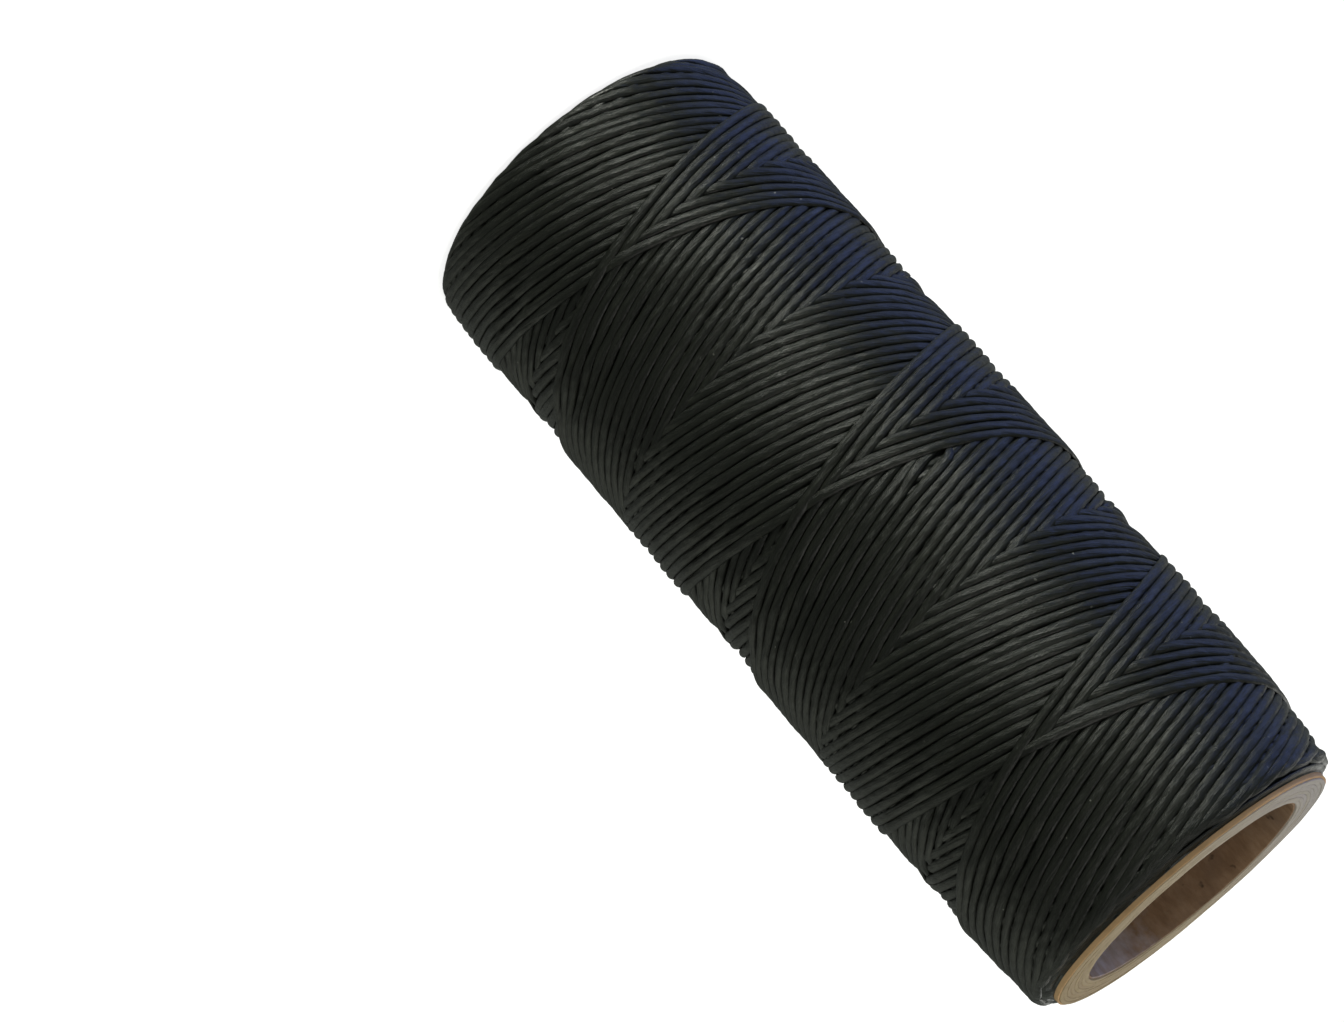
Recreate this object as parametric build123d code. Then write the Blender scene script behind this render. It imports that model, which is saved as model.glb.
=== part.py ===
from build123d import *
import os

# Waxed sewing thread on a paper tube.
# The spool stands on one end of its tube, axis on +Z, origin at the centre of
# that end.  All lengths are millimetres.

os.makedirs("parts", exist_ok=True)

# ---------------------------------------------------------------- dimensions
TUBE_LENGTH = 114.3        # paper tube, end to end
TUBE_OD = 39.6             # outside of the outer liner
BORE_D = 30.0              # clear bore through the tube
INNER_LINER_T = 0.30       # kraft liner that faces the bore
OUTER_LINER_T = 0.30       # smooth liner that the thread lies on
BODY_PLIES = 8             # grey board plies between the two liners
EDGE_BREAK = 0.12          # softened corner of the cut tube end, outer liner

WINDING_D = 45.8           # over the full winding
GAP_LOW = 0.1              # bare tube below the winding
GAP_HIGH = 0.8             # bare tube above it
WINDING_LAYERS = 4         # complete criss-cross layers, out and back

THREAD_WIDTH = 1.15        # flat waxed thread
THREAD_THICK = 0.38
TAIL_AZIMUTH = (-124.0, -98.0)   # degrees from +X, about +Z
TAIL_HEIGHT = 62.4               # middle of the tail, above the bottom end

# Outside of the full winding near each end: distance in from the winding's
# end, and the radius there.  The turns step back towards the tube, so the
# package has soft shoulders and not square corners.  The upper shoulder is the
# longer one.
SHOULDER_LOW = [
    (0.0, 20.8),
    (0.2, 21.25),
    (0.55, 21.9),
    (0.95, 22.35),
    (2.0, 22.65),
    (4.4, 22.82),
    (10.0, 22.9),
]
SHOULDER_HIGH = [
    (0.0, 20.6),
    (0.4, 21.1),
    (1.0, 21.6),
    (2.0, 21.95),
    (3.5, 22.1),
    (5.5, 22.25),
    (8.5, 22.45),
    (13.0, 22.75),
    (20.0, 22.9),
]

# ------------------------------------------------------------------- derived
R_BORE = BORE_D / 2
R_TUBE = TUBE_OD / 2
R_WIND = WINDING_D / 2
PLY_T = (R_TUBE - R_BORE - INNER_LINER_T - OUTER_LINER_T) / BODY_PLIES
Z0 = GAP_LOW
Z1 = TUBE_LENGTH - GAP_HIGH


def turned(points):
    """Solid of revolution about Z from (radius, height) corners."""
    with BuildPart() as p:
        with BuildSketch(Plane.XZ):
            with BuildLine():
                Polyline([(r, z) for r, z in points], close=True)
            make_face()
        revolve(axis=Axis.Z)
    return p.part


def tube(r_in, r_out, z_low, z_high):
    return turned([(r_in, z_low), (r_out, z_low), (r_out, z_high), (r_in, z_high)])


def save(shape, name):
    shape.label = name
    export_step(shape, "parts/" + name + ".step")


# ------------------------------------------------------------ the paper tube
save(tube(R_BORE, R_BORE + INNER_LINER_T, 0.0, TUBE_LENGTH), "core_inner_liner")

r = R_BORE + INNER_LINER_T
for i in range(BODY_PLIES):
    save(tube(r, r + PLY_T, 0.0, TUBE_LENGTH), "core_body_ply_%d" % (i + 1))
    r += PLY_T

# The outer liner's free corners are softened where the tube was cut.
save(
    turned(
        [
            (r, 0.0),
            (R_TUBE - EDGE_BREAK, 0.0),
            (R_TUBE, EDGE_BREAK),
            (R_TUBE, TUBE_LENGTH - EDGE_BREAK),
            (R_TUBE - EDGE_BREAK, TUBE_LENGTH),
            (r, TUBE_LENGTH),
        ]
    ),
    "core_outer_liner",
)

# --------------------------------------------------------------- the winding
# Every layer runs the full stroke, so each shell wraps the one beneath it and
# thins towards the ends in the same proportion as the whole build.


def layer_surface(k):
    """Corners of the surface over layer k, bottom to top, k = 0 is the tube."""
    share = k / WINDING_LAYERS
    if k == 0:
        return [(R_TUBE, Z0), (R_TUBE, Z1)]
    low = [(R_TUBE + (rr - R_TUBE) * share, Z0 + s) for s, rr in SHOULDER_LOW]
    high = [(R_TUBE + (rr - R_TUBE) * share, Z1 - s) for s, rr in SHOULDER_HIGH]
    return low + high[::-1]


for k in range(1, WINDING_LAYERS + 1):
    outer = layer_surface(k)
    inner = layer_surface(k - 1)
    save(turned(outer + list(reversed(inner))), "thread_layer_%d" % k)

# ------------------------------------------------------------ the thread end
# The last few centimetres of thread are tucked down under the top turns; a
# short length of it lies on the outside.
with BuildPart() as tail:
    with BuildSketch(Plane.XZ):
        with Locations((R_WIND + THREAD_THICK / 2, TAIL_HEIGHT)):
            Rectangle(THREAD_THICK, THREAD_WIDTH)
    revolve(axis=Axis.Z, revolution_arc=TAIL_AZIMUTH[1] - TAIL_AZIMUTH[0])
save(tail.part.rotate(Axis.Z, TAIL_AZIMUTH[0]), "thread_tail")
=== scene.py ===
# Waxed thread spool: the looks.  Metres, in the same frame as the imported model.
import math

import bpy
import numpy as np
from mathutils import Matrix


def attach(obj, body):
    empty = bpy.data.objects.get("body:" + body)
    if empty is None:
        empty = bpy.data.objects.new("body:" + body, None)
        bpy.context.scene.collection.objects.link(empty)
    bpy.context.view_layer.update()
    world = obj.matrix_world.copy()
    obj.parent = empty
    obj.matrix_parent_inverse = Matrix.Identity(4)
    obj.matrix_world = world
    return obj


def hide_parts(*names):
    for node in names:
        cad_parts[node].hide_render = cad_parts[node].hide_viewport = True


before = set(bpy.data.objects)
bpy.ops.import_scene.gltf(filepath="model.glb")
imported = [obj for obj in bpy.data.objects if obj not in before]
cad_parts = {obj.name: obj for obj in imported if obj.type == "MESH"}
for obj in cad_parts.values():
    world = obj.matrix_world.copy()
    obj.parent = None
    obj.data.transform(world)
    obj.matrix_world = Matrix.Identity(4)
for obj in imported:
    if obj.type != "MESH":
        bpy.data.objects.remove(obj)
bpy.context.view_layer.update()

MM = 0.001
SC = bpy.context.scene

# --------------------------------------------------------------------- camera
# The spool lies with its top end towards the lower right of the picture, so the
# camera is level with it and rolled.  Fitted values, in wound radii.
R_UNIT = 22.9
EL, ROLL = 0.3115, 2.4446
FOCAL_PX, DIST, OFF_X, OFF_Y, L_FIT = 3603.0, 18.61, -1.0634, 0.0774, 5.008


def unit(v):
    v = np.asarray(v, float)
    return v / np.linalg.norm(v)


back = np.array([0.0, -math.cos(EL), math.sin(EL)])
right = np.array([1.0, 0.0, 0.0])
up = np.cross(back, right)
cr, sr = math.cos(ROLL), math.sin(ROLL)
cam_r = cr * right + sr * up
cam_u = -sr * right + cr * up
eye = (np.array([0, 0, L_FIT / 2]) + DIST * back + OFF_X * cam_r + OFF_Y * cam_u) * R_UNIT

from mathutils import Matrix, Vector

cam_data = bpy.data.cameras.new("camera")
cam_data.sensor_width = 36.0
cam_data.lens = 36.0 * FOCAL_PX / 1344.0
cam_data.clip_start = 0.01
cam_data.clip_end = 50.0
cam = bpy.data.objects.new("camera", cam_data)
SC.collection.objects.link(cam)
m = Matrix.Identity(4)
for i in range(3):
    m[i][0], m[i][1], m[i][2] = cam_r[i], cam_u[i], back[i]
    m[i][3] = eye[i] * MM
cam.matrix_world = m
SC.camera = cam
SC.view_settings.view_transform = "Standard"
SC.view_settings.look = "None"

# ---------------------------------------------------------------- node helpers


def material(name):
    mat = bpy.data.materials.new(name)
    mat.use_nodes = True
    nt = mat.node_tree
    nt.nodes.clear()
    out = nt.nodes.new("ShaderNodeOutputMaterial")
    bsdf = nt.nodes.new("ShaderNodeBsdfPrincipled")
    nt.links.new(bsdf.outputs[0], out.inputs[0])
    return mat, nt, bsdf


def node(nt, kind, **kw):
    n = nt.nodes.new(kind)
    for k, v in kw.items():
        setattr(n, k, v)
    return n


def ramp(nt, src, stops, interp="LINEAR"):
    n = nt.nodes.new("ShaderNodeValToRGB")
    n.color_ramp.interpolation = interp
    el = n.color_ramp.elements
    while len(el) < len(stops):
        el.new(0.5)
    for e, (p, c) in zip(el, stops):
        e.position = p
        e.color = (c[0], c[1], c[2], 1.0) if not isinstance(c, float) else (c, c, c, 1.0)
    nt.links.new(src, n.inputs[0])
    return n.outputs[0]


def noise(nt, vec, scale, detail=4.0, rough=0.55, dist=0.0, dims="3D"):
    n = nt.nodes.new("ShaderNodeTexNoise")
    n.noise_dimensions = dims
    n.inputs["Scale"].default_value = scale
    n.inputs["Detail"].default_value = detail
    n.inputs["Roughness"].default_value = rough
    n.inputs["Distortion"].default_value = dist
    nt.links.new(vec, n.inputs["Vector"])
    return n.outputs["Fac"]


def mapping(nt, vec, scale=(1, 1, 1), loc=(0, 0, 0)):
    n = nt.nodes.new("ShaderNodeMapping")
    n.inputs["Scale"].default_value = scale
    n.inputs["Location"].default_value = loc
    nt.links.new(vec, n.inputs["Vector"])
    return n.outputs["Vector"]


def math_node(nt, op, a, b=None, clamp=False):
    n = nt.nodes.new("ShaderNodeMath")
    n.operation = op
    n.use_clamp = clamp
    for i, v in enumerate((a, b)):
        if v is None:
            continue
        if isinstance(v, (int, float)):
            n.inputs[i].default_value = v
        else:
            nt.links.new(v, n.inputs[i])
    return n.outputs[0]


def mix_color(nt, fac, a, b, mode="MIX"):
    n = nt.nodes.new("ShaderNodeMix")
    n.data_type = "RGBA"
    n.blend_type = mode
    if isinstance(fac, (int, float)):
        n.inputs[0].default_value = fac
    else:
        nt.links.new(fac, n.inputs[0])
    for i, v in ((6, a), (7, b)):
        if isinstance(v, tuple):
            n.inputs[i].default_value = (*v, 1.0)
        else:
            nt.links.new(v, n.inputs[i])
    return n.outputs[2]


def bump(nt, height, strength, distance, normal=None):
    n = nt.nodes.new("ShaderNodeBump")
    n.inputs["Strength"].default_value = strength
    n.inputs["Distance"].default_value = distance
    nt.links.new(height, n.inputs["Height"])
    if normal is not None:
        nt.links.new(normal, n.inputs["Normal"])
    return n.outputs[0]


# ------------------------------------------------------------------- materials


def thread_material(name, with_coords=True):
    """Black waxed flat thread: filaments run along it, wax lies on it in streaks."""
    mat, nt, b = material(name)
    geo = node(nt, "ShaderNodeTexCoord")
    obj = geo.outputs["Object"]
    if with_coords:
        at = node(nt, "ShaderNodeAttribute", attribute_name="thread")
        co = at.outputs["Vector"]  # x along the thread, y across, z one number a stroke; mm
        lay = node(nt, "ShaderNodeMapping")  # the filaments lie a few degrees askew
        lay.inputs["Rotation"].default_value = (0, 0, math.radians(4.5))
        nt.links.new(co, lay.inputs["Vector"])
        tw = lay.outputs["Vector"]
        fil = noise(nt, mapping(nt, tw, (0.45, 7.5, 1.0)), 1.0, 4.0, 0.65)
        streak = noise(nt, mapping(nt, tw, (0.12, 2.4, 1.0)), 1.0, 4.0, 0.6)
        wax = noise(nt, mapping(nt, co, (0.75, 1.5, 1.0)), 1.0, 5.0, 0.65)
        lump = noise(nt, mapping(nt, co, (0.42, 0.7, 1.0)), 1.0, 2.0, 0.5)
        sep = nt.nodes.new("ShaderNodeSeparateXYZ")  # the plies twist round each other
        nt.links.new(co, sep.inputs[0])
        drift = noise(nt, mapping(nt, co, (0.16, 0.3, 1.0)), 1.0, 2.0, 0.5)
        ph = math_node(nt, "ADD", math_node(nt, "MULTIPLY", sep.outputs[0], 2.2), math_node(nt, "MULTIPLY", sep.outputs[1], 3.4))
        ph = math_node(nt, "ADD", ph, math_node(nt, "MULTIPLY", drift, 9.0))
        ply = math_node(nt, "MULTIPLY", math_node(nt, "SINE", ph), 0.5)
    else:
        fil = noise(nt, mapping(nt, obj, (60, 60, 3500)), 1.0, 3.0, 0.6)
        streak = noise(nt, mapping(nt, obj, (30, 30, 900)), 1.0, 4.0, 0.6)
        wax = noise(nt, obj, 400.0, 5.0, 0.65)
        lump = noise(nt, obj, 500.0, 2.0, 0.5)
        ply = noise(nt, obj, 700.0, 1.0, 0.5)
    patch = noise(nt, obj, 55.0, 3.0, 0.5)
    base = ramp(nt, streak, [(0.25, (0.0042, 0.0048, 0.0038)), (0.52, (0.0095, 0.0108, 0.0082)), (0.80, (0.022, 0.0238, 0.0170))])
    bloom = ramp(nt, wax, [(0.58, 0.0), (0.84, 1.0)])
    pm = ramp(nt, patch, [(0.35, 0.15), (0.7, 1.0)])
    bl = math_node(nt, "MULTIPLY", bloom, pm)
    bl = math_node(nt, "MULTIPLY", bl, 0.40)
    col = mix_color(nt, bl, base, (0.055, 0.056, 0.044))
    dust = ramp(nt, noise(nt, obj, 1500.0, 1.0, 0.5), [(0.775, 0.0), (0.80, 1.0)])
    where = ramp(nt, noise(nt, obj, 95.0, 2.0, 0.5), [(0.52, 0.0), (0.60, 1.0)])
    col = mix_color(nt, math_node(nt, "MULTIPLY", dust, where), col, (0.20, 0.20, 0.18))
    nt.links.new(col, b.inputs["Base Color"])
    rough = ramp(nt, wax, [(0.25, 0.255), (0.75, 0.45)])
    nt.links.new(rough, b.inputs["Roughness"])
    b.inputs["Specular IOR Level"].default_value = 0.34
    b.inputs["Sheen Weight"].default_value = 0.0
    n0 = bump(nt, lump, 0.8, 0.00020)
    n1 = bump(nt, ply, 0.5, 0.00007, n0)
    n2 = bump(nt, streak, 0.8, 0.00022, n1)
    n3 = bump(nt, fil, 0.8, 0.00011, n2)
    nt.links.new(n3, b.inputs["Normal"])
    return mat


def board_material(name, tint, seed, painted_side_light=True):
    """Cut edge of grey-cream tube board: short fibres, faint lines round the ring."""
    mat, nt, b = material(name)
    obj = node(nt, "ShaderNodeTexCoord").outputs["Object"]
    o2 = mapping(nt, obj, (1, 1, 1), (seed * 0.013, seed * 0.007, 0))
    fine = noise(nt, o2, 2600.0, 4.0, 0.7)
    mid = noise(nt, o2, 420.0, 4.0, 0.6)
    big = noise(nt, o2, 70.0, 3.0, 0.5)
    t = tint
    base = ramp(nt, mid, [(0.2, (t[0] * 0.80, t[1] * 0.79, t[2] * 0.76)), (0.5, t), (0.8, (t[0] * 1.10, t[1] * 1.10, t[2] * 1.12))])
    dark = ramp(nt, fine, [(0.28, 1.0), (0.42, 0.0)])
    base = mix_color(nt, math_node(nt, "MULTIPLY", dark, 0.35), base, (t[0] * 0.5, t[1] * 0.46, t[2] * 0.40))
    bigm = ramp(nt, big, [(0.3, 0.0), (0.7, 1.0)])
    base = mix_color(nt, math_node(nt, "MULTIPLY", bigm, 0.25), base, (t[0] * 0.82, t[1] * 0.80, t[2] * 0.84))
    if painted_side_light:  # painted light and shade: the −X side of the end is tinted paler and bluer, where the blue side light falls, and the +X side darker and tanner, away from it
        sx = nt.nodes.new("ShaderNodeSeparateXYZ")
        nt.links.new(obj, sx.inputs[0])
        side = math_node(nt, "ADD", math_node(nt, "MULTIPLY", sx.outputs[0], 25.0), 0.5)
        side = math_node(nt, "ADD", side, math_node(nt, "MULTIPLY", math_node(nt, "SUBTRACT", big, 0.5), 0.35))
        base = mix_color(nt, 1.0, base, ramp(nt, side, [(0.05, (0.80, 0.81, 0.93)), (0.5, (0.86, 0.79, 0.68)), (0.95, (0.72, 0.61, 0.46))]), "MULTIPLY")
    nt.links.new(base, b.inputs["Base Color"])
    b.inputs["Roughness"].default_value = 0.85
    b.inputs["Specular IOR Level"].default_value = 0.25
    n1 = bump(nt, mid, 0.35, 0.00012)
    n2 = bump(nt, fine, 0.6, 0.00006, n1)
    nt.links.new(n2, b.inputs["Normal"])
    return mat


def kraft_material(name):
    """Brown kraft liner in the bore: long fibres, dark specks, a paler grey-lilac patch near the mouth."""
    mat, nt, b = material(name)
    obj = node(nt, "ShaderNodeTexCoord").outputs["Object"]
    fine = noise(nt, obj, 2200.0, 5.0, 0.7)
    fib = noise(nt, mapping(nt, obj, (900, 900, 300)), 1.0, 4.0, 0.65)
    big = noise(nt, obj, 110.0, 4.0, 0.6)
    base = ramp(nt, fib, [(0.2, (0.23, 0.13, 0.072)), (0.5, (0.38, 0.23, 0.138)), (0.8, (0.52, 0.34, 0.225))])
    bigm = ramp(nt, big, [(0.40, 0.0), (0.62, 1.0)])
    base = mix_color(nt, math_node(nt, "MULTIPLY", bigm, 0.55), base, (0.27, 0.18, 0.13))
    speck = noise(nt, obj, 620.0, 2.0, 0.5)
    sp = ramp(nt, speck, [(0.66, 0.0), (0.74, 1.0)])
    base = mix_color(nt, math_node(nt, "MULTIPLY", sp, 0.8), base, (0.05, 0.034, 0.02))
    pale = ramp(nt, noise(nt, obj, 480.0, 3.0, 0.5), [(0.66, 0.0), (0.76, 1.0)])
    base = mix_color(nt, math_node(nt, "MULTIPLY", pale, 0.4), base, (0.50, 0.42, 0.30))
    # a paler grey-lilac patch on the bore wall near the mouth, on the +X side, streaked along the bore
    vm = nt.nodes.new("ShaderNodeVectorMath")
    vm.operation = "DISTANCE"
    nt.links.new(obj, vm.inputs[0])
    vm.inputs[1].default_value = (0.0125, 0.0083, 0.1105)
    d = math_node(nt, "ADD", vm.outputs["Value"], math_node(nt, "MULTIPLY", noise(nt, obj, 320.0, 5.0, 0.7), 0.014))
    pale_patch = ramp(nt, math_node(nt, "MULTIPLY", d, 60.0), [(0.48, 1.0), (0.66, 0.6), (0.95, 0.0)])
    pale_patch_streaks = ramp(nt, noise(nt, mapping(nt, obj, (700, 700, 260)), 1.0, 4.0, 0.6), [(0.3, 0.45), (0.65, 1.0)])
    base = mix_color(nt, math_node(nt, "MULTIPLY", pale_patch, pale_patch_streaks), base, (0.72, 0.66, 0.74))
    nt.links.new(base, b.inputs["Base Color"])
    b.inputs["Roughness"].default_value = 0.8
    b.inputs["Specular IOR Level"].default_value = 0.3
    n1 = bump(nt, fib, 0.5, 0.00014)
    n2 = bump(nt, fine, 0.5, 0.00007, n1)
    nt.links.new(n2, b.inputs["Normal"])
    return mat


MAT_THREAD = thread_material("waxed_thread")
MAT_PACK = thread_material("waxed_thread_pack", with_coords=False)
MAT_OUTER = board_material("tube_outer_liner", (0.74, 0.47, 0.25), 1, False)
MAT_BOARD = [board_material("tube_board_%d" % k, (0.76 - 0.012 * (k % 3), 0.69 - 0.014 * (k % 3), 0.58 - 0.016 * (k % 2)), 3 + k) for k in range(8)]
MAT_KRAFT = kraft_material("tube_kraft_liner")

# ------------------------------------------------------- the winding, simulated
# One thread is laid there and back over the tube.  A stroke is three turns, and
# each return trip lands one thread's pitch further round than the one before, so
# the surface ends as six zones of parallel turns that lean one way and then the
# other, crossed by the V of the last turns laid.

R_TUBE, R_WIND = 19.8, 22.9
T_W, T_T = 1.20, 0.42
PITCH, ZONE = 1.289, 18.83
RISE = ZONE / math.pi
DPHI = PITCH / (2 * ZONE) * 2 * math.pi
PER_LAYER = 2 * math.pi / DPHI
LAYERS, FIXED = 4, 1.7
SHOULDER_LOW = [(0.0, 20.8), (0.2, 21.25), (0.55, 21.9), (0.95, 22.35), (2.0, 22.65), (4.4, 22.82), (10.0, 22.9)]
SHOULDER_HIGH = [(0.0, 20.6), (0.4, 21.1), (1.0, 21.6), (2.0, 21.95), (3.5, 22.1), (5.5, 22.25), (8.5, 22.45), (13.0, 22.75), (20.0, 22.9)]
Z_LO, Z_HI = 0.1, 113.5
NZ, DZ, NP = 1144, 0.1, 1440
STEP = 0.5
PHI_APEX = math.radians(15.0)


def fill(z):
    lo = np.interp(z - Z_LO, [a for a, _ in SHOULDER_LOW], [b for _, b in SHOULDER_LOW])
    hi = np.interp(Z_HI - z, [a for a, _ in SHOULDER_HIGH], [b for _, b in SHOULDER_HIGH])
    return (np.minimum(lo, hi) - R_TUBE) / (R_WIND - R_TUBE)


def gauss(x, sig, h):
    k = np.exp(-0.5 * (np.arange(-h, h + 1) / sig) ** 2)
    k /= k.sum()
    return np.convolve(np.pad(x, h, mode="edge"), k, "valid")


def stroke_z(g, rho, e0, e1):
    top = 6 * np.pi - g
    h = np.where(g < 3 * np.pi, np.sqrt(g * g + rho * rho), 6 * np.pi - np.sqrt(top * top + rho * rho))
    z = RISE * h - 0.23
    return z + e0 * np.exp(-((g / 0.9) ** 2)) + (0.42 - e1) * np.exp(-((top / 0.9) ** 2))


def cells(z, a):
    return np.clip((z / DZ).astype(int), 0, NZ - 1), np.floor(a / (2 * np.pi) * NP).astype(int) % NP


def wind(seed=5, jit=0.03, conform=0.5):
    rng = np.random.default_rng(seed)
    n_pass = int(round(LAYERS * PER_LAYER))
    n_fix = int(round(FIXED * PER_LAYER))
    H = np.full((NZ, NP), R_TUBE, np.float32)
    own = np.full((NZ, NP), -1, np.int32)
    strokes, snaps = [], []
    phi0 = PHI_APEX - np.pi
    for i in range(n_pass):
        fixed = i >= n_pass - n_fix
        turn = 0.0 if fixed else rng.uniform(0, 2 * np.pi)
        for d in (0, 1):
            if i == n_pass - 1 and d == 1:
                break  # the thread was cut at the far end of its last trip
            sid = len(strokes)
            prog = (sid + 1) / (2 * n_pass)
            r_est = R_TUBE + (R_WIND - R_TUBE) * prog
            n = int(6 * np.pi * r_est / STEP)
            g = np.linspace(0, 6 * np.pi, n)
            wob = np.zeros(n)
            for _ in range(5):
                wl = rng.uniform(20, 160) / r_est
                wob += rng.normal(0, jit * 0.55) * np.sin(g / wl * 2 * np.pi + rng.uniform(0, 6.28))
            off = rng.normal(0, jit)
            rho = 0.05 + abs(rng.normal(0, 0.04))
            e = rng.uniform(0, 1, 2) ** 1.5 * 0.35
            z = stroke_z(g if d == 0 else 6 * np.pi - g, rho, e[0], e[1]) + wob + off
            if not fixed:
                z = z + rng.normal(0, 0.3)
            zl, zh = Z_LO + 0.35, Z_HI - 0.25
            z = np.where(z < zl + 0.4, zl + 0.4 * np.exp(np.minimum(z - zl - 0.4, 0) / 0.4), z)
            z = np.where(z > zh - 0.4, zh - 0.4 * np.exp(np.minimum(zh - 0.4 - z, 0) / 0.4), z)
            ang = phi0 + turn + (i - (n_pass - 1)) * DPHI + (g if d == 0 else 6 * np.pi + g) * (1 + DPHI / (12 * np.pi))
            al = np.arctan(np.gradient(z) / np.gradient(ang) / r_est)
            ca, sa = np.cos(al), np.sin(al)
            us = np.linspace(-0.5, 0.5, 9) * T_W * 0.9
            iz, ip = cells(z[:, None] + us[None] * ca[:, None], ang[:, None] - us[None] * sa[:, None] / r_est)
            h = H[iz, ip]
            sl = (h[:, 6:].mean(1) - h[:, :3].mean(1)) / (0.6 * T_W * 0.9 * 1.1)
            sl = np.clip(gauss(sl, 2.5, 7), -1.6, 1.6)
            hs = np.sort(h - sl[:, None] * us[None], 1)
            b = conform * hs.mean(1) + (1 - conform) * hs[:, -3]
            # a taut thread bridges hollows
            mm = 12
            x = np.arange(-mm, mm + 1) * STEP
            p = -x * x / (2 * r_est)
            B = np.pad(b, mm, mode="edge")
            dil = np.max(np.stack([B[j:j + n] + p[j] for j in range(2 * mm + 1)]), 0)
            D = np.pad(dil, mm, mode="edge")
            ero = np.min(np.stack([D[j:j + n] - p[j] for j in range(2 * mm + 1)]), 0)
            bb = gauss(0.6 * ero + 0.4 * b, 1.6, 4)
            f = fill(z)
            tgt = R_TUBE + (R_WIND - R_TUBE) * prog * f - T_T * f * 0.9
            x = bb - tgt
            bb = tgt + np.where(x > 0.10, 0.10 + (x - 0.10) * 0.45, x)
            strokes.append(dict(z=z, ang=ang, base=bb, sl=sl, al=al, f=f, i=i, d=d, r=r_est))
            nf = n * 7
            gi, j0 = np.linspace(0, n - 1, nf), np.arange(n)
            zf, af, bf, sf, alf, ff = (np.interp(gi, j0, q) for q in (z, ang, bb, sl, al, f))
            uf = np.linspace(-0.5, 0.5, 16)
            prof = T_T * np.sqrt(np.clip(1 - np.abs(2 * uf) ** 2.6, 0, 1))
            top = bf[:, None] + sf[:, None] * (uf * T_W)[None] + prof[None] * ff[:, None]
            iz, ip = cells(zf[:, None] + (uf * T_W)[None] * np.cos(alf)[:, None], af[:, None] - (uf * T_W)[None] * np.sin(alf)[:, None] / r_est)
            fl, v = (iz * NP + ip).ravel(), top.ravel().astype(np.float32)
            o = np.argsort(v, kind="stable")
            fl, v = fl[o], v[o]
            Hf = H.ravel()
            q = v > Hf[fl]
            Hf[fl[q]] = v[q]
            own.ravel()[fl[q]] = sid
        for k in range(1, LAYERS):
            if i == int(round(n_pass * k / LAYERS)) - 1:
                snaps.append(H.copy())
    return H, own, strokes, snaps


H, OWN, STROKES, SNAPS = wind()
N_STROKES = len(STROKES)
LAST = int(2 * round(PER_LAYER))  # strokes in one full layer

# ---------------------------------------------------------------- mesh builders


def link(ob):
    SC.collection.objects.link(ob)
    return ob


def new_mesh(name, verts, quads, smooth=True, ngons=()):
    """verts (n,3) metres, quads (m,4)."""
    me = bpy.data.meshes.new(name)
    nq = len(quads)
    loops = np.concatenate([np.asarray(quads, np.int32).ravel()] + [np.asarray(g, np.int32) for g in ngons]) if len(ngons) else np.asarray(quads, np.int32).ravel()
    sizes = np.concatenate([np.full(nq, 4, np.int32), np.array([len(g) for g in ngons], np.int32)])
    starts = np.concatenate([[0], np.cumsum(sizes)[:-1]]).astype(np.int32)
    me.vertices.add(len(verts))
    me.vertices.foreach_set("co", np.asarray(verts, np.float32).ravel())
    me.loops.add(len(loops))
    me.loops.foreach_set("vertex_index", loops)
    me.polygons.add(len(sizes))
    me.polygons.foreach_set("loop_start", starts)
    me.polygons.foreach_set("loop_total", sizes)
    me.update(calc_edges=True)
    me.polygons.foreach_set("use_smooth", np.full(len(sizes), smooth, bool))
    me.validate()
    ob = bpy.data.objects.new(name, me)
    return link(ob)


SECT = 12
TH = 2 * np.pi * (np.arange(SECT) + 0.5) / SECT
POW = 2 / 1.68
SX = np.sign(np.cos(TH)) * np.abs(np.cos(TH)) ** POW
SY = np.sign(np.sin(TH)) * np.abs(np.sin(TH)) ** POW


def frames(z, ang, rc, sl, al):
    er = np.stack([np.sin(ang), -np.cos(ang), 0 * ang], -1)
    ep = np.stack([np.cos(ang), np.sin(ang), 0 * ang], -1)
    ez = np.stack([0 * ang, 0 * ang, 0 * ang + 1], -1)
    P = er * rc[:, None] + ez * z[:, None]
    B0 = np.cos(al)[:, None] * ez - np.sin(al)[:, None] * ep
    q = 1 / np.sqrt(1 + sl * sl)
    B = (B0 + sl[:, None] * er) * q[:, None]
    N = (er - sl[:, None] * B0) * q[:, None]
    return P, B, N


def ribbons(name, runs):
    """One mesh of closed flat-thread tubes.  runs: dicts of z, ang, rc, sl, al, hw, ht, s, tag."""
    V, Q, G, A = [], [], [], []
    base = 0
    for r in runs:
        P, B, N = frames(r["z"], r["ang"], r["rc"], r["sl"], r["al"])
        n = len(P)
        ring = P[:, None] + B[:, None] * (r["hw"][:, None] * SX[None])[..., None] + N[:, None] * (r["ht"][:, None] * SY[None])[..., None]
        ring[..., 2] = np.clip(ring[..., 2], 0.03, 113.85)
        V.append(ring.reshape(-1, 3))
        a = np.zeros((n, SECT, 3))
        a[..., 0] = r["s"][:, None]
        a[..., 1] = (r["hw"][:, None] * SX[None]) + 0.3 * SY[None]
        a[..., 2] = r["tag"]
        A.append(a.reshape(-1, 3))
        i, j = np.meshgrid(np.arange(n - 1), np.arange(SECT), indexing="ij")
        k = (j + 1) % SECT
        q = np.stack([i * SECT + j, (i + 1) * SECT + j, (i + 1) * SECT + k, i * SECT + k], -1).reshape(-1, 4) + base
        Q.append(q)
        G.append(base + np.arange(SECT))
        G.append(base + (n - 1) * SECT + np.arange(SECT)[::-1])
        base += n * SECT
    ob = new_mesh(name, np.concatenate(V) * MM, np.concatenate(Q), True, G)
    at = ob.data.attributes.new("thread", "FLOAT_VECTOR", "POINT")
    at.data.foreach_set("vector", np.concatenate(A).astype(np.float32).ravel())
    ob.data.materials.append(MAT_THREAD)
    return ob


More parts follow.
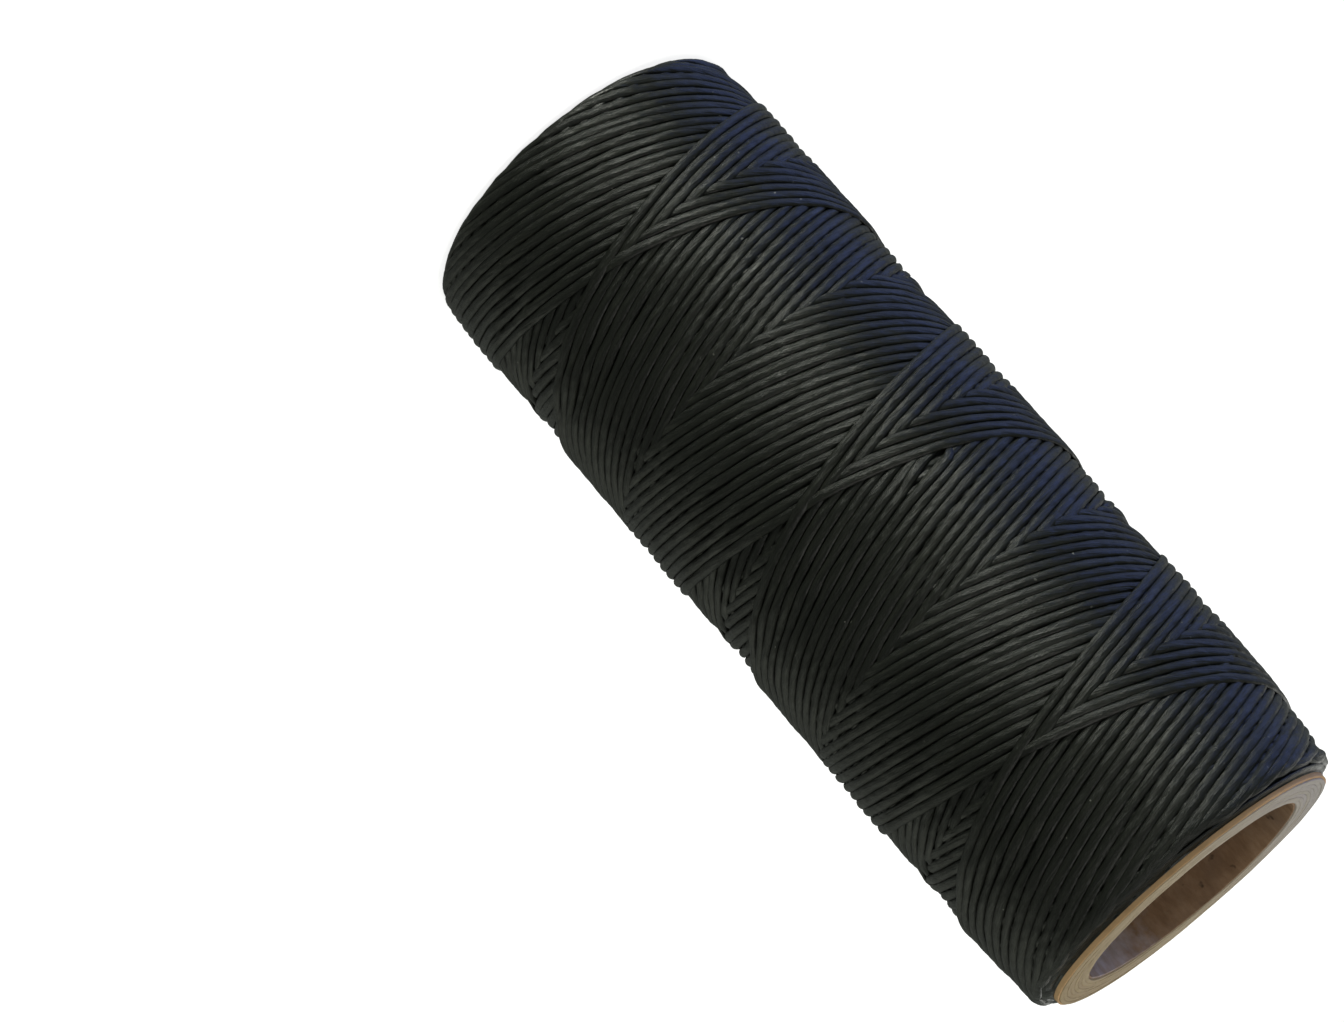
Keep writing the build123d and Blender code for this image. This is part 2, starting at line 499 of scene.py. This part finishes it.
def run_of(st, sid, a, b, rng, step=2):
    idx = np.arange(a, b, step)
    if idx[-1] != b - 1:
        idx = np.append(idx, b - 1)
    z, ang, base, sl, al, f = (st[k][idx] for k in ("z", "ang", "base", "sl", "al", "f"))
    s = idx * STEP + sid * 440.0
    n = len(idx)
    hw = HALF_W * (1 + 0.03 * np.sin(s / 9.7 + sid) + 0.055 * gauss(rng.normal(0, 1, n), 0.8, 2))
    hw = hw * (1 + 0.10 * np.exp(-((Z_HI - z) / 8.0) ** 2))  # the turns spread on the long shoulder
    ht = HALF_T * (0.85 + 0.15 * f) * (1 + 0.05 * np.sin(s / 6.3 + 1.7 * sid) + 0.07 * gauss(rng.normal(0, 1, n), 0.7, 2))
    lift = 0.030 * gauss(rng.normal(0, 1, n), 0.9, 3)
    tilt = 0.16 * gauss(rng.normal(0, 1, n), 2.5, 8) + rng.normal(0, 0.05)
    end = 0.08 * np.exp(-np.minimum(z - Z_LO, Z_HI - z) / 0.9)  # the turns pile up where they turn back
    return dict(z=part_turns(z, ang, al), ang=ang, rc=base + T_T * f - ht + lift * f + end, sl=sl + tilt * f, al=al, hw=hw, ht=ht, s=s, tag=sid * 0.731)


HALF_W, HALF_T = 0.638, 0.38

# One of the last turns has been pulled askew where it comes out from under the
# crossing, and the turns below it stand off and leave a dark gap.


def part_turns(z, ang, al):
    a = np.degrees((ang + np.pi) % (2 * np.pi) - np.pi)
    w = np.where(np.abs(a + 21) < 16, 0.5 + 0.5 * np.cos((a + 21) / 16 * np.pi), 0.0)
    d = z - (62.55 + 0.1046 * (a + 18))
    low = -0.60 * np.exp(-((d + 0.4) / 1.8) ** 2) * (d < 0.0)
    high = 0.10 * np.exp(-((d - 0.6) / 0.8) ** 2) * (d >= 0.0)
    return z + w * (low + high) * (al > 0)


rng = np.random.default_rng(11)
top_runs, under_runs = [], []
for sid, st in enumerate(STROKES):
    n = len(st["z"])
    if sid >= N_STROKES - LAST:
        top_runs.append(run_of(st, sid, 0, n, rng))
        continue
    ca, sa = np.cos(st["al"]), np.sin(st["al"])
    us = np.linspace(-0.5, 0.5, 9) * T_W
    iz, ip = cells(st["z"][:, None] + us[None] * ca[:, None], st["ang"][:, None] - us[None] * sa[:, None] / st["r"])
    vis = (OWN[iz, ip] == sid).any(1) & (st["z"] > Z_LO + 1.3) & (st["z"] < Z_HI - 1.7)
    if not vis.any():
        continue
    grow = 5
    vis = np.convolve(vis, np.ones(2 * grow + 1), "same") > 0
    edge = np.flatnonzero(np.diff(np.concatenate([[0], vis.astype(int), [0]])))
    for a, b in zip(edge[::2], edge[1::2]):
        if b - a >= 8:
            under_runs.append(run_of(st, sid, a, b, rng))

LIMIT = 92000  # quads in one piece


def joined(runs):
    """Strokes that follow each other as one thread, with a rounded turn-back where they meet."""
    keys = ("z", "ang", "rc", "sl", "al", "hw", "ht", "s")
    parts, seams, n, at, last = [], [], 0, 0.0, None
    for r in runs:
        q = {k: np.array(r[k], float) for k in keys}
        q["s"] += at - q["s"][0]
        if last is not None:
            q["ang"] += 2 * np.pi * np.round((last - q["ang"][0]) / (2 * np.pi))
            q = {k: v[1:] for k, v in q.items()}
            seams.append(n - 0.5)
        parts.append(q)
        n += len(q["z"])
        at, last = q["s"][-1], q["ang"][-1]
    out = {k: np.concatenate([q[k] for q in parts]) for k in keys}
    i = np.arange(n)
    w = np.zeros(n)
    for c in seams:
        w = np.maximum(w, np.exp(-(((i - c) / 5.0) ** 4)))
    for k in ("z", "rc", "sl", "al"):
        out[k] = out[k] + w * (gauss(out[k], 1.7, 6) - out[k])
    out["tag"] = runs[0]["tag"]
    return out


def pieces(stem, runs):
    out, cur, cnt = [], [], 0
    for r in runs:
        q = (len(r["z"]) - 1) * SECT
        if cnt + q > LIMIT:
            out.append(cur)
            cur, cnt = [], 0
        cur.append(r)
        cnt += q
    if cur:
        out.append(cur)
    return [ribbons("%s_%d" % (stem, k + 1), c) for k, c in enumerate(out)]


# The ends: where the thread turns back it lies nearly square to the axis, one
# turn on the shoulder of the next, down to the tube.


def rim(points, turns, seed):
    r = np.random.default_rng(seed)
    zz, rr = np.array(points, float).T
    arc = np.concatenate([[0], np.cumsum(np.hypot(np.diff(zz), np.diff(rr)))])
    n = int(turns * 150)
    a = np.linspace(0, turns * 2 * np.pi, n) + r.uniform(0, 6.28)
    t = np.linspace(0, arc[-1], n)
    t = t + 0.12 * np.sin(a * 1.37 + r.uniform(0, 6.28)) + 0.08 * np.sin(a * 4.3 + r.uniform(0, 6.28)) + 0.05 * gauss(r.normal(0, 1, n), 5, 15)
    t = np.clip(t, 0, arc[-1])
    z, q = gauss(np.interp(t, arc, zz), 3, 9), gauss(np.interp(t, arc, rr), 3, 9)
    e = 0.25
    dz = np.interp(t + e, arc, zz) - np.interp(t - e, arc, zz)
    dr = np.interp(t + e, arc, rr) - np.interp(t - e, arc, rr)
    side = np.sign(zz[-1] - zz[0])
    sl = gauss(np.clip(dr / (np.where(np.abs(dz) < 0.02, 0.02, np.abs(dz))), -5, 5) * side, 4, 12)
    k = 1 / np.sqrt(1 + sl * sl)
    hw = 0.56 * (1 + 0.05 * gauss(r.normal(0, 1, n), 1.5, 5))
    ht = 0.22 * (1 + 0.06 * gauss(r.normal(0, 1, n), 1.5, 5))
    # step in from the outline along its normal: the turns laid last lie over these
    sink = np.interp(t, [0.0, 0.5, 1.1], [0.10, 0.42, 0.66])
    z = z - (-sl * k) * (sink + ht)
    q = q - k * (sink + ht)
    s = np.arange(n) * (2 * np.pi * 21.0 / 150)
    return dict(z=z, ang=a, rc=q, sl=sl, al=np.full(n, 0.008), hw=hw, ht=ht, s=s + seed * 31.0, tag=50.0 + seed)


rims = [
    rim([(113.46, 20.35), (113.42, 20.7), (113.1, 21.15), (112.5, 21.6), (111.5, 21.95), (110.0, 22.12)], 5, 21),
    rim([(0.14, 20.4), (0.18, 20.85), (0.32, 21.3), (0.66, 21.9), (1.05, 22.35), (2.1, 22.65), (4.0, 22.8)], 5, 22),
]
rim_pieces = [ribbons("thread_end_turns_%d" % (k + 1), [r]) for k, r in enumerate(rims)]
for ob in rim_pieces:
    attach(ob, "root")

first = N_STROKES - LAST
cuts = [0] + [k for k in range(1, LAST) if (first + k) % 2 == 0 and (first + k - 192) % 16 == 0] + [LAST]
top_runs[0]["rc"][:8] -= np.linspace(0.6, 0.0, 8)
top_runs[-1]["rc"][-8:] -= np.linspace(0.0, 0.6, 8)
top_pieces = [ribbons("thread_top_turns_%d" % (k + 1), [joined(top_runs[a:b])]) for k, (a, b) in enumerate(zip(cuts[:-1], cuts[1:]))]
under_pieces = pieces("thread_under_turns", under_runs)
print("top", first, cuts, len(top_runs), len(top_pieces), "under", len(under_runs), len(under_pieces))
for ob in top_pieces:
    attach(ob, "root")
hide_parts("thread_layer_4")
for ob in under_pieces:
    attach(ob, "root")

# layers beneath, as closed shells that carry the lie of their own turns


def shell(name, surf, inner, nz=300, nphi=144, sink=0.05):
    zs = np.linspace(Z_LO, Z_HI, nz)
    ph = np.arange(nphi) / nphi * 2 * np.pi
    iz = np.clip((zs / DZ).astype(int), 0, NZ - 1)
    ip = (ph / (2 * np.pi) * NP).astype(int) % NP
    r_out = surf[np.ix_(iz, ip)].astype(float) - sink
    r_in = np.full_like(r_out, R_TUBE + 0.02) if inner is None else inner[np.ix_(iz, ip)].astype(float) - sink - 0.02
    r_out = np.maximum(r_out, r_in + 0.04)
    er = np.stack([np.sin(ph), -np.cos(ph), 0 * ph], -1)

    def grid(r):
        v = er[None] * r[..., None]
        v[..., 2] = zs[:, None]
        return v.reshape(-1, 3)
    V = np.concatenate([grid(r_out), grid(r_in)])
    n0 = nz * nphi
    i, j = np.meshgrid(np.arange(nz - 1), np.arange(nphi), indexing="ij")
    k = (j + 1) % nphi
    qo = np.stack([i * nphi + j, i * nphi + k, (i + 1) * nphi + k, (i + 1) * nphi + j], -1).reshape(-1, 4)
    qi = qo[:, ::-1] + n0
    j = np.arange(nphi)
    k = (j + 1) % nphi
    lo = np.stack([j, n0 + j, n0 + k, k], -1)
    e = (nz - 1) * nphi
    hi = np.stack([e + j, e + k, n0 + e + k, n0 + e + j], -1)
    ob = new_mesh(name, V * MM, np.concatenate([qo, qi, lo, hi]), True)
    ob.data.materials.append(MAT_PACK)
    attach(ob, "root")
    return ob


prev = None
for k, snap in enumerate(SNAPS):
    ob = shell("thread_pack_%d" % (k + 1), snap, prev)
    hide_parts("thread_layer_%d" % (k + 1))
    prev = snap

# ------------------------------------------------------------------- paper tube
NA = 360
rngt = np.random.default_rng(3)


def wavy(n, amps, seed):
    r = np.random.default_rng(seed)
    a = np.arange(n) / n * 2 * np.pi
    w = np.zeros(n)
    for k, amp in amps:
        w += amp * r.normal() * np.sin(k * a + r.uniform(0, 6.28))
    return w


def lathe(name, profiles):
    """profiles: (n_angle, n_point, 2) of radius, height: a closed loop turned about Z."""
    n, mpt, _ = profiles.shape
    a = np.arange(n) / n * 2 * np.pi
    v = np.zeros((n, mpt, 3))
    v[..., 0] = profiles[..., 0] * np.cos(a)[:, None]
    v[..., 1] = profiles[..., 0] * np.sin(a)[:, None]
    v[..., 2] = profiles[..., 1]
    i, j = np.meshgrid(np.arange(n), np.arange(mpt), indexing="ij")
    i2, j2 = (i + 1) % n, (j + 1) % mpt
    q = np.stack([i * mpt + j, i2 * mpt + j, i2 * mpt + j2, i * mpt + j2], -1).reshape(-1, 4)
    return new_mesh(name, v.reshape(-1, 3) * MM, q)


TL = 114.3
plies = [("core_inner_liner", 15.0, 15.3)]
for k in range(8):
    plies.append(("core_body_ply_%d" % (k + 1), 15.3 + 0.525 * k, 15.825 + 0.525 * k))
plies.append(("core_outer_liner", 19.5, 19.8))
for k, (nm, r0, r1) in enumerate(plies):
    drop_t = 0.05 + 0.05 * rngt.uniform() + wavy(NA, [(2, 0.02), (3, 0.02), (5, 0.012), (11, 0.008), (23, 0.006), (47, 0.005)], 100 + k)
    drop_b = 0.0 + 0.04 * rngt.uniform() + np.abs(wavy(NA, [(3, 0.02), (17, 0.008)], 200 + k))
    if k == 0:
        drop_t += 0.22
    if k == len(plies) - 1:
        drop_t += 0.12
    drop_t = np.clip(drop_t, 0, None)
    drop_b = np.clip(drop_b, 0, None)
    c = 0.06
    top = TL - drop_t
    bot = drop_b
    g = 0.006
    pts = []
    zs_mid = [bot + 2.0, bot + 30.0, bot + 57.0, bot + 84.0, top - 2.0]
    pts.append((r0 + g + 0 * top, bot + c))
    for zz in zs_mid:
        pts.append((r0 + g + 0 * top, zz))
    pts.append((r0 + g + 0 * top, top - c))
    pts.append((r0 + g + c * 0.3 + 0 * top, top - c * 0.3))
    pts.append((r0 + g + c + 0 * top, top))
    pts.append((r1 - g - c + 0 * top, top))
    pts.append((r1 - g - c * 0.3 + 0 * top, top - c * 0.3))
    pts.append((r1 - g + 0 * top, top - c))
    for zz in zs_mid[::-1]:
        pts.append((r1 - g + 0 * top, zz))
    pts.append((r1 - g + 0 * top, bot + c))
    pts.append((r1 - g - c + 0 * top, bot))
    pts.append((r0 + g + c + 0 * top, bot))
    prof = np.stack([np.stack([a, b], -1) for a, b in pts], 1)
    ob = lathe("tube_" + nm[5:], prof)
    ob.data.materials.append(MAT_KRAFT if k == 0 else (MAT_OUTER if k == len(plies) - 1 else MAT_BOARD[k - 1]))
    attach(ob, "root")
    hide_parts(nm)

# ------------------------------------------------------------------ thread tail


def surf_r(z, ang):
    iz, ip = cells(np.asarray(z), np.asarray(ang))
    return H[iz, ip]


# It comes out from under the crossing, bends down into the lie of the turns
# beside it, and goes on as one of them.
join = None
for sid in range(N_STROKES - LAST, N_STROKES):
    st = STROKES[sid]
    a = (st["ang"] + np.pi) % (2 * np.pi) - np.pi
    near = (np.abs(a - math.radians(-9.3)) < 0.02) & (st["al"] > 0)
    for zz in part_turns(st["z"][near], st["ang"][near], st["al"][near]):
        if join is None or abs(zz - 64.25) < join[0]:
            join = (abs(zz - 64.25), sid, zz)
jst = STROKES[join[1]]
ja = (jst["ang"] + np.pi) % (2 * np.pi) - np.pi
jz = part_turns(jst["z"], jst["ang"], jst["al"])
sel = (np.abs(ja - math.radians(-6.0)) < math.radians(14.0)) & (np.abs(jz - join[2]) < 6.0)
jo = np.argsort(ja[sel])
jphi, jzz = np.degrees(ja[sel][jo]), jz[sel][jo]
tail_pts = [(-37.0, 58.2), (-34.6, 59.05), (-32.4, 59.95), (-30.3, 60.9), (-27.5, 61.85), (-24.5, 62.40), (-20.5, 62.82)]
for ph in (-14.5, -9.0, -3.5, 2.0):
    tail_pts.append((ph, float(np.interp(ph, jphi, jzz)) + (0.10 if ph < -10 else 0.0)))
tail_pts = np.array(tail_pts, float)
tt = np.linspace(0, len(tail_pts) - 1, 90)


def catmull(p, t):
    i = np.clip(t.astype(int), 0, len(p) - 2)
    u = (t - i)[:, None]
    p0, p1, p2, p3 = p[np.clip(i - 1, 0, None)], p[i], p[i + 1], p[np.clip(i + 2, None, len(p) - 1)]
    return 0.5 * (2 * p1 + (p2 - p0) * u + (2 * p0 - 5 * p1 + 4 * p2 - p3) * u ** 2 + (3 * p1 - p0 - 3 * p2 + p3) * u ** 3)


tp = catmull(tail_pts, tt)
tang, tz = np.radians(tp[:, 0]), tp[:, 1]
tal = np.arctan2(np.gradient(tz), np.gradient(tang) * 22.9)
lie = np.interp(tt, [0.0, 1.0, 2.0, 3.0, 3.4, 4.0, 4.6, 7.0, 8.5, 10.0], [21.8, 22.0, 22.2, 22.5, 22.68, 22.95, 23.06, 23.04, 22.92, 22.62])
tail = dict(z=tz, ang=tang, rc=lie - 0.28, sl=0 * tz, al=tal, hw=np.full(len(tz), 0.55), ht=np.full(len(tz), 0.30), s=np.arange(len(tz)) * 0.2, tag=7.0)
print("tail joins", join, "surface there", float(surf_r(tail_pts[-3, 1], np.radians(tail_pts[-3, 0]))))
ob = ribbons("thread_tail_end", [tail])
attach(ob, "root")
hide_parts("thread_tail")

# ----------------------------------------------------------- stage and lighting
# The floor only catches shadows: it neither lights the thread nor shows in it.
floor_me = bpy.data.meshes.new("floor")
NF = 96
fa = np.arange(NF) / NF * 2 * np.pi
fv = [(6 * math.cos(a), 6 * math.sin(a), 0.0) for a in fa]
floor_me.from_pydata(fv, [], [list(range(NF))])
floor = bpy.data.objects.new("floor", floor_me)
SC.collection.objects.link(floor)
floor.visible_shadow = False
floor.visible_glossy = False
floor.visible_diffuse = False
fm = bpy.data.materials.new("floor_white")
fm.use_nodes = True
nt = fm.node_tree
nt.nodes.clear()
o = nt.nodes.new("ShaderNodeOutputMaterial")
add = nt.nodes.new("ShaderNodeAddShader")
em = nt.nodes.new("ShaderNodeEmission")
em.inputs[0].default_value = (1, 1, 1, 1)
em.inputs[1].default_value = 0.84
df = nt.nodes.new("ShaderNodeBsdfDiffuse")
df.inputs[0].default_value = (0.80, 0.80, 0.80, 1)
nt.links.new(em.outputs[0], add.inputs[0])
nt.links.new(df.outputs[0], add.inputs[1])
nt.links.new(add.outputs[0], o.inputs[0])
floor_me.materials.append(fm)

world = bpy.data.worlds.new("studio")
SC.world = world
world.use_nodes = True
nt = world.node_tree
nt.nodes.clear()
wo = nt.nodes.new("ShaderNodeOutputWorld")
mixs = nt.nodes.new("ShaderNodeMixShader")
bg_cam = nt.nodes.new("ShaderNodeBackground")
bg_cam.inputs[0].default_value = (1, 1, 1, 1)
bg_cam.inputs[1].default_value = 1.0
bg_dim = nt.nodes.new("ShaderNodeBackground")
bg_dim.inputs[0].default_value = (0.96, 1.03, 0.92, 1)
bg_dim.inputs[1].default_value = 0.18
lp = nt.nodes.new("ShaderNodeLightPath")
nt.links.new(lp.outputs["Is Camera Ray"], mixs.inputs[0])
nt.links.new(bg_dim.outputs[0], mixs.inputs[1])
nt.links.new(bg_cam.outputs[0], mixs.inputs[2])
nt.links.new(mixs.outputs[0], wo.inputs[0])


def area(name, az, el, dist, sx, sy, power, color, aim=(0, 0, 0.057)):
    """az measured about Z from -Y, towards +X; the long side sy stands upright."""
    ld = bpy.data.lights.new(name, "AREA")
    ld.shape = "RECTANGLE"
    ld.size, ld.size_y = sx, sy
    ld.energy = power
    ld.color = color
    ob = bpy.data.objects.new(name, ld)
    SC.collection.objects.link(ob)
    a, e = math.radians(az), math.radians(el)
    d = Vector((math.sin(a) * math.cos(e), -math.cos(a) * math.cos(e), math.sin(e)))
    ob.location = Vector(aim) + d * dist
    ob.rotation_euler = d.to_track_quat("Z", "Y").to_euler()
    return ob


# The key hangs above the spool as it lies in the picture, which is below the
# floor of this frame.
area("key", -41, -42, 1.0, 0.36, 0.36, 9.1, (1.0, 1.03, 0.92))
area("blue_side", -99, -13, 1.0, 1.0, 1.0, 3.8, (0.18, 0.30, 1.0), (0, 0, 0.085))
area("white_side", 110, 10, 1.2, 0.8, 1.2, 1.9, (0.95, 1.0, 0.82))
area("end_fill", 10, 72, 1.1, 0.7, 0.7, 3.0, (1.0, 0.98, 0.92), (0, 0, 0.114))
area("back_fill", -165, 28, 1.3, 0.9, 0.9, 3.0, (1.0, 1.0, 0.96))

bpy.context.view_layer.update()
